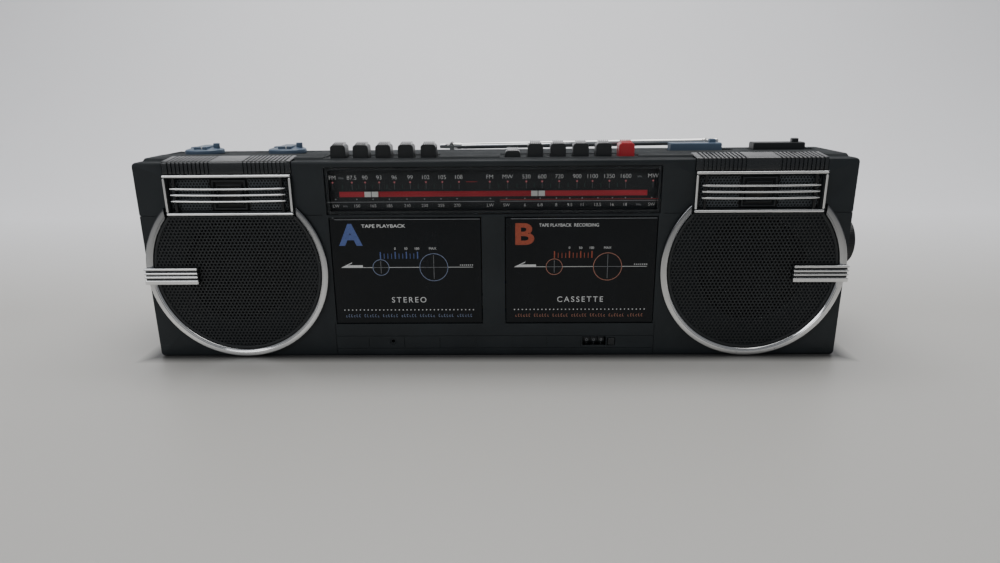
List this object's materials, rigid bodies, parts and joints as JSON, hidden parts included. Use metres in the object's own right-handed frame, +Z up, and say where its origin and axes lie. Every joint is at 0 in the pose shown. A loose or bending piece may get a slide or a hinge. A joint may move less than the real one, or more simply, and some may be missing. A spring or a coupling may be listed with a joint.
{
  "type": "cassette player",
  "caption": "Portable twin-deck radio cassette player with stereo speakers, tuning dial, piano keys, slide and rotary controls, telescopic antenna and folding handle.",
  "frame": {"origin": "on the flat bottom, midway across the width of the cabinet and midway between its front and back faces", "axes": "+X towards the listener's right along the long side, +Y from the front face to the back face, +Z up"},
  "size_m": [0.5706, 0.136, 0.174],
  "materials": {
    "black_plastic": "moulded black plastic with a fine grain",
    "key_plastic": "smoother black plastic",
    "red_plastic": "red moulded plastic",
    "blue_plastic": "dull blue moulded plastic",
    "white_plastic": "off-white moulded plastic",
    "scale_plastic": "black dial plate",
    "smoked_plastic": "polished smoked plastic",
    "chrome": "bright plating",
    "grille_metal": "perforated steel, painted black",
    "steel": "plain steel",
    "brass": "turned brass",
    "paper_cone": "dark pressed paper",
    "board": "brown resin board",
    "belt_rubber": "black rubber"
  },
  "bodies": {
    "cabinet": {"front_cabinet": "black_plastic", "rear_cabinet": "black_plastic", "left_ribbed_strip": "black_plastic", "right_ribbed_strip": "black_plastic", "left_grille": "grille_metal", "left_speaker_trim": "chrome", "left_woofer": "steel", "left_horn_frame": "chrome", "left_tweeter": "key_plastic", "right_grille": "grille_metal", "right_speaker_trim": "chrome", "right_woofer": "steel", "right_horn_frame": "chrome", "right_tweeter": "key_plastic", "dial_window": "smoked_plastic", "dial_scale": "scale_plastic", "deck_a_chassis": "steel", "deck_b_chassis": "steel", "tape_motor": "steel", "drive_belt": "belt_rubber", "main_circuit_board": "board", "power_transformer": "steel"},
    "left_woofer_cone": {"left_woofer_cone": "paper_cone"},
    "right_woofer_cone": {"right_woofer_cone": "paper_cone"},
    "tuning_knob": {"tuning_knob": "key_plastic"},
    "dial_pointers": {"dial_pointers": "white_plastic"},
    "deck_a_door": {"deck_a_door": "smoked_plastic"},
    "deck_b_door": {"deck_b_door": "smoked_plastic"},
    "deck_a_takeup_spindle": {"deck_a_takeup_spindle": "black_plastic"},
    "deck_a_supply_spindle": {"deck_a_supply_spindle": "black_plastic"},
    "tape_counter": {"tape_counter": "key_plastic"},
    "deck_b_takeup_spindle": {"deck_b_takeup_spindle": "black_plastic"},
    "deck_b_supply_spindle": {"deck_b_supply_spindle": "black_plastic"},
    "deck_a_capstan": {"deck_a_capstan": "brass"},
    "deck_b_capstan": {"deck_b_capstan": "brass"},
    "motor_pulley": {"motor_pulley": "brass"},
    "deck_a_head_slide": {"deck_a_head_slide": "steel"},
    "deck_b_head_slide": {"deck_b_head_slide": "steel"},
    "deck_a_pause_key": {"deck_a_pause_key": "key_plastic"},
    "deck_a_stop_key": {"deck_a_stop_key": "key_plastic"},
    "deck_a_forward_key": {"deck_a_forward_key": "key_plastic"},
    "deck_a_rewind_key": {"deck_a_rewind_key": "key_plastic"},
    "deck_a_play_key": {"deck_a_play_key": "key_plastic"},
    "deck_b_pause_key": {"deck_b_pause_key": "key_plastic"},
    "deck_b_stop_key": {"deck_b_stop_key": "key_plastic"},
    "deck_b_forward_key": {"deck_b_forward_key": "key_plastic"},
    "deck_b_rewind_key": {"deck_b_rewind_key": "key_plastic"},
    "deck_b_play_key": {"deck_b_play_key": "key_plastic"},
    "deck_b_record_key": {"deck_b_record_key": "red_plastic"},
    "volume_knob": {"volume_knob": "blue_plastic"},
    "tone_knob": {"tone_knob": "blue_plastic"},
    "band_slider": {"band_slider": "blue_plastic"},
    "function_slider": {"function_slider": "key_plastic"},
    "antenna_swivel": {"antenna_swivel": "steel"},
    "antenna_tube": {"antenna_tube": "chrome"},
    "antenna_middle": {"antenna_middle": "chrome"},
    "antenna_tip": {"antenna_tip": "chrome"},
    "carry_handle": {"carry_handle": "black_plastic"},
    "battery_cover": {"battery_cover": "black_plastic"},
    "counter_reset_button": {"counter_reset_button": "key_plastic"}
  },
  "joints": [
    {"name": "left_cone_travel", "type": "slide", "parent": "cabinet", "child": "left_woofer_cone", "axis": [0, 1, 0], "range_m": [-0.0012, 0.0012], "stiffness_N_per_m": 200},
    {"name": "right_cone_travel", "type": "slide", "parent": "cabinet", "child": "right_woofer_cone", "axis": [0, 1, 0], "range_m": [-0.0012, 0.0012], "stiffness_N_per_m": 200},
    {"name": "tuning_turn", "type": "hinge", "parent": "cabinet", "child": "tuning_knob", "pos_m": [0.285, -0.037, 0.0905], "axis": [1, 0, 0], "range_deg": [-143, 573]},
    {"name": "pointer_travel", "type": "slide", "parent": "cabinet", "child": "dial_pointers", "axis": [1, 0, 0], "range_m": [-0.0201, 0.0801]},
    {"name": "deck_a_door_swing", "type": "hinge", "parent": "cabinet", "child": "deck_a_door", "pos_m": [-0.0696, -0.0635, 0.0298], "axis": [1, 0, 0], "range_deg": [0, 35]},
    {"name": "deck_b_door_swing", "type": "hinge", "parent": "cabinet", "child": "deck_b_door", "pos_m": [0.0696, -0.0635, 0.0298], "axis": [1, 0, 0], "range_deg": [0, 35]},
    {"name": "deck_a_takeup_turn", "type": "hinge", "parent": "cabinet", "child": "deck_a_takeup_spindle", "pos_m": [-0.09085, -0.05, 0.076], "axis": [0, 1, 0], "continuous": true},
    {"name": "deck_a_supply_turn", "type": "hinge", "parent": "cabinet", "child": "deck_a_supply_spindle", "pos_m": [-0.04835, -0.05, 0.076], "axis": [0, 1, 0], "continuous": true},
    {"name": "counter_turn", "type": "hinge", "parent": "cabinet", "child": "tape_counter", "pos_m": [0.082, -0.055, 0.0123], "axis": [1, 0, 0], "continuous": true},
    {"name": "deck_b_takeup_turn", "type": "hinge", "parent": "cabinet", "child": "deck_b_takeup_spindle", "pos_m": [0.04835, -0.05, 0.076], "axis": [0, 1, 0], "continuous": true},
    {"name": "deck_b_supply_turn", "type": "hinge", "parent": "cabinet", "child": "deck_b_supply_spindle", "pos_m": [0.09085, -0.05, 0.076], "axis": [0, 1, 0], "continuous": true},
    {"name": "deck_a_capstan_turn", "type": "hinge", "parent": "cabinet", "child": "deck_a_capstan", "pos_m": [-0.0901, -0.045, 0.1035], "axis": [0, 1, 0], "continuous": true},
    {"name": "deck_b_capstan_turn", "type": "hinge", "parent": "cabinet", "child": "deck_b_capstan", "pos_m": [0.0491, -0.045, 0.1035], "axis": [0, 1, 0], "continuous": true},
    {"name": "motor_turn", "type": "hinge", "parent": "cabinet", "child": "motor_pulley", "pos_m": [-0.0205, -0.038, 0.046], "axis": [0, 1, 0], "continuous": true},
    {"name": "deck_a_head_travel", "type": "slide", "parent": "cabinet", "child": "deck_a_head_slide", "axis": [0, 0, -1], "range_m": [0, 0.0053], "stiffness_N_per_m": 300, "springref_m": -0.003},
    {"name": "deck_b_head_travel", "type": "slide", "parent": "cabinet", "child": "deck_b_head_slide", "axis": [0, 0, -1], "range_m": [0, 0.0053], "stiffness_N_per_m": 300, "springref_m": -0.003},
    {"name": "deck_a_pause_press", "type": "slide", "parent": "cabinet", "child": "deck_a_pause_key", "axis": [0, 0, -1], "range_m": [0, 0.0053], "stiffness_N_per_m": 120, "springref_m": -0.002},
    {"name": "deck_a_stop_press", "type": "slide", "parent": "cabinet", "child": "deck_a_stop_key", "axis": [0, 0, -1], "range_m": [0, 0.0053], "stiffness_N_per_m": 120, "springref_m": -0.002},
    {"name": "deck_a_forward_press", "type": "slide", "parent": "cabinet", "child": "deck_a_forward_key", "axis": [0, 0, -1], "range_m": [0, 0.0053], "stiffness_N_per_m": 120, "springref_m": -0.002},
    {"name": "deck_a_rewind_press", "type": "slide", "parent": "cabinet", "child": "deck_a_rewind_key", "axis": [0, 0, -1], "range_m": [0, 0.0053], "stiffness_N_per_m": 120, "springref_m": -0.002},
    {"name": "deck_a_play_press", "type": "slide", "parent": "cabinet", "child": "deck_a_play_key", "axis": [0, 0, -1], "range_m": [0, 0.0053]},
    {"name": "deck_b_pause_press", "type": "slide", "parent": "cabinet", "child": "deck_b_pause_key", "axis": [0, 0, -1], "range_m": [-0.0053, 0]},
    {"name": "deck_b_stop_press", "type": "slide", "parent": "cabinet", "child": "deck_b_stop_key", "axis": [0, 0, -1], "range_m": [0, 0.0053], "stiffness_N_per_m": 120, "springref_m": -0.002},
    {"name": "deck_b_forward_press", "type": "slide", "parent": "cabinet", "child": "deck_b_forward_key", "axis": [0, 0, -1], "range_m": [0, 0.0053], "stiffness_N_per_m": 120, "springref_m": -0.002},
    {"name": "deck_b_rewind_press", "type": "slide", "parent": "cabinet", "child": "deck_b_rewind_key", "axis": [0, 0, -1], "range_m": [0, 0.0053], "stiffness_N_per_m": 120, "springref_m": -0.002},
    {"name": "deck_b_play_press", "type": "slide", "parent": "cabinet", "child": "deck_b_play_key", "axis": [0, 0, -1], "range_m": [0, 0.0053]},
    {"name": "deck_b_record_press", "type": "slide", "parent": "cabinet", "child": "deck_b_record_key", "axis": [0, 0, -1], "range_m": [0, 0.0053], "stiffness_N_per_m": 120, "springref_m": -0.002},
    {"name": "volume_turn", "type": "hinge", "parent": "cabinet", "child": "volume_knob", "pos_m": [-0.246, -0.009, 0.165], "axis": [0, 0, 1], "range_deg": [-140, 140]},
    {"name": "tone_turn", "type": "hinge", "parent": "cabinet", "child": "tone_knob", "pos_m": [-0.1753, -0.009, 0.165], "axis": [0, 0, 1], "range_deg": [-140, 140]},
    {"name": "band_travel", "type": "slide", "parent": "cabinet", "child": "band_slider", "axis": [1, 0, 0], "range_m": [0, 0.009]},
    {"name": "function_travel", "type": "slide", "parent": "cabinet", "child": "function_slider", "axis": [1, 0, 0], "range_m": [0, 0.009]},
    {"name": "antenna_turn", "type": "hinge", "parent": "cabinet", "child": "antenna_swivel", "pos_m": [-0.0372, 0.013, 0.1653], "axis": [0, 0, 1], "range_deg": [0, 180]},
    {"name": "antenna_raise", "type": "hinge", "parent": "antenna_swivel", "child": "antenna_tube", "pos_m": [-0.0372, 0.013, 0.1653], "axis": [0, -1, 0], "range_deg": [0, 88]},
    {"name": "antenna_middle_pull", "type": "slide", "parent": "antenna_tube", "child": "antenna_middle", "axis": [0.9999, 0, 0.0105], "range_m": [0, 0.17]},
    {"name": "antenna_tip_pull", "type": "slide", "parent": "antenna_middle", "child": "antenna_tip", "axis": [0.9999, 0, 0.0105], "range_m": [0, 0.16]},
    {"name": "handle_swing", "type": "hinge", "parent": "cabinet", "child": "carry_handle", "pos_m": [0, 0.058, 0.149], "axis": [1, 0, 0], "range_deg": [0, 180]},
    {"name": "battery_cover_swing", "type": "hinge", "parent": "cabinet", "child": "battery_cover", "pos_m": [0, 0.0635, 0.0096], "axis": [-1, 0, 0], "range_deg": [0, 88]},
    {"name": "counter_reset_press", "type": "slide", "parent": "cabinet", "child": "counter_reset_button", "axis": [0, 1, 0], "range_m": [0, 0.0025], "stiffness_N_per_m": 15, "springref_m": -0.002}
  ],
  "couplings": [
    {"joint": "pointer_travel", "follows": "tuning_turn", "m_per_rad": 0.008},
    {"joint": "deck_b_capstan_turn", "follows": "deck_a_capstan_turn", "ratio": 1},
    {"joint": "motor_turn", "follows": "deck_a_capstan_turn", "ratio": 4.783},
    {"joint": "deck_b_takeup_turn", "follows": "counter_turn", "ratio": 2},
    {"joint": "deck_a_play_press", "follows": "deck_a_head_travel", "ratio": 1},
    {"joint": "deck_b_play_press", "follows": "deck_b_head_travel", "ratio": 1}
  ]
}
